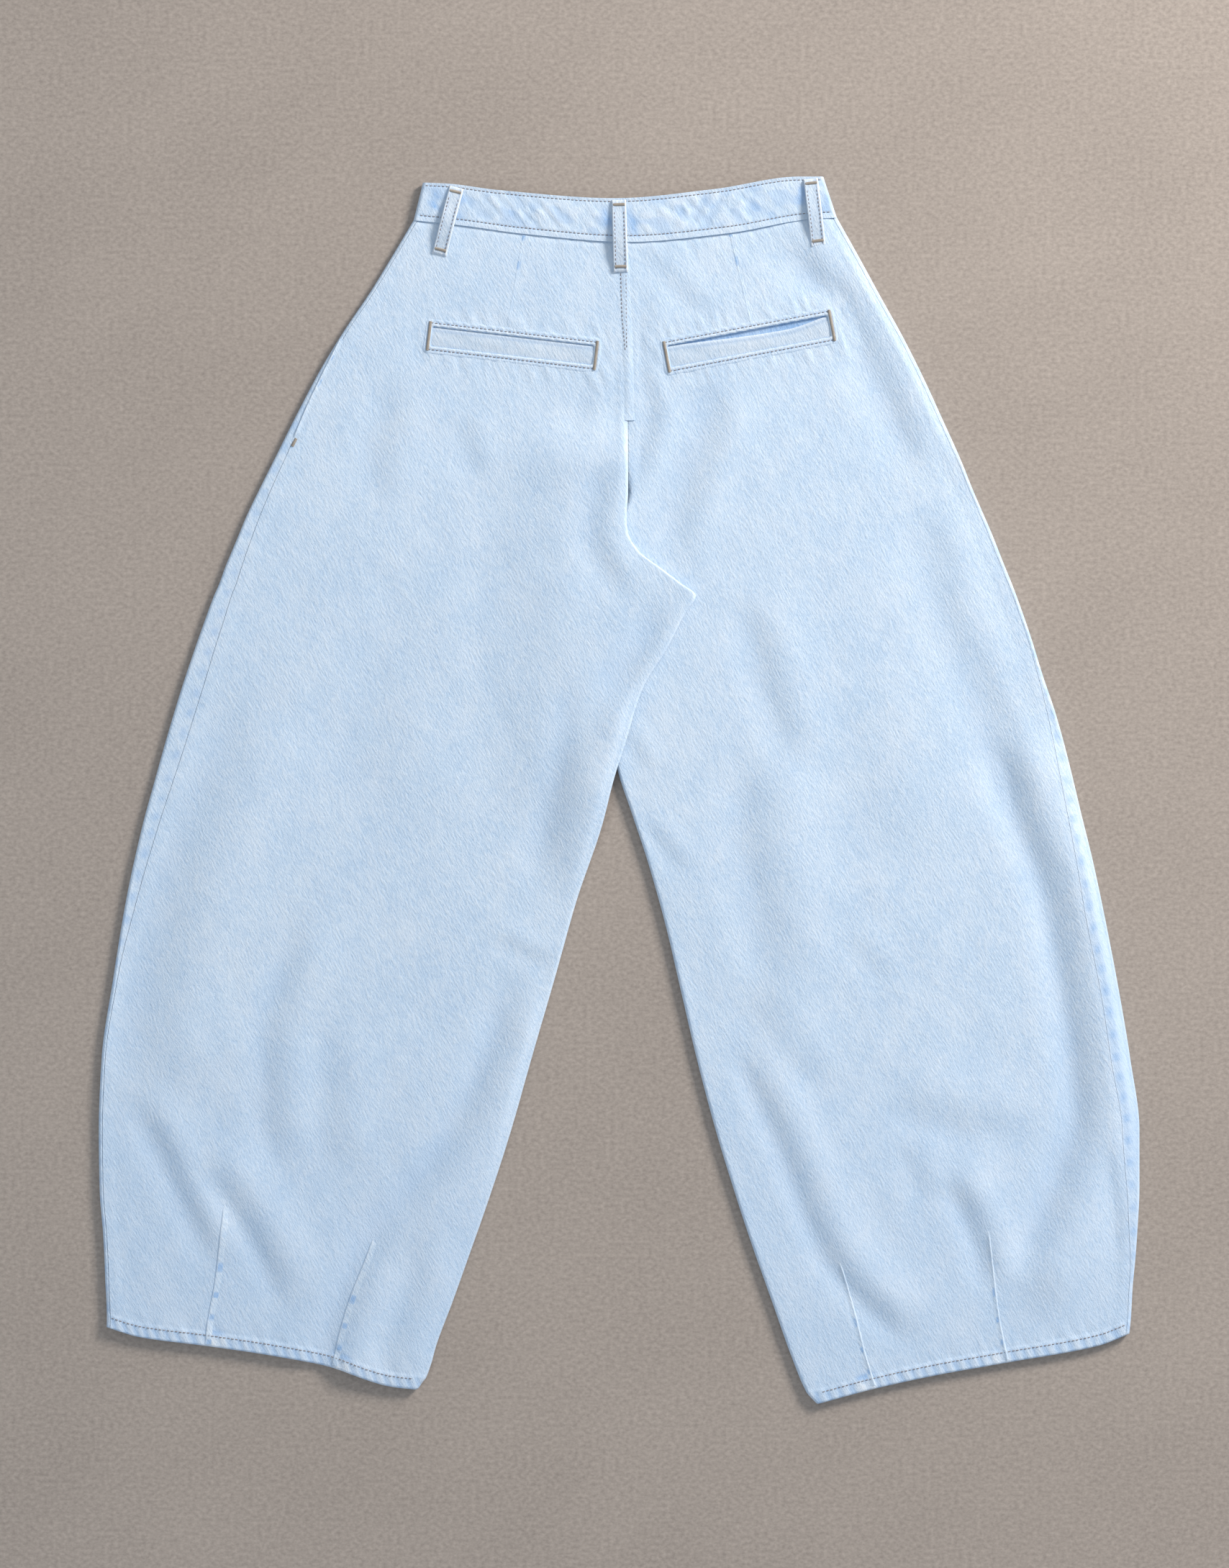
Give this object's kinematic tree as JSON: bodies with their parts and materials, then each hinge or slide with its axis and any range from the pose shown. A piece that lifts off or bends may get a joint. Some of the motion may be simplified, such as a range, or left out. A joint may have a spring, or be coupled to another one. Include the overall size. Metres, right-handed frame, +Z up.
{
  "type": "barrel leg trousers",
  "caption": "Pale bleached denim trousers with wide barrel legs, lying flat with the back up: contoured waistband, belt loops, welt pockets.",
  "frame": {"origin": "on the floor, below the middle of the flat trousers", "axes": "+X to the wearer's right, +Y from the hems towards the waist, +Z up, out of the back of the trousers"},
  "size_m": [0.8957, 1.0558, 0.0114],
  "materials": {
    "denim": "matt bleached twill",
    "denim_trim": "matt bleached twill, paler along worn edges",
    "pocket_denim": "matt twill, less bleached",
    "button_metal": "satin, aged"
  },
  "bodies": {
    "root": {"back_left": "denim", "back_right": "denim", "front_left": "denim", "front_right": "denim", "waistband_back": "denim", "waistband_front_left": "denim", "waistband_front_right": "denim", "belt_loop_left": "denim_trim", "belt_loop_centre": "denim_trim", "belt_loop_right": "denim_trim", "pocket_welt_left": "denim_trim", "pocket_welt_right": "denim_trim", "pocket_facing_left": "pocket_denim", "pocket_facing_right": "pocket_denim", "waist_button": "button_metal"}
  },
  "joints": []
}
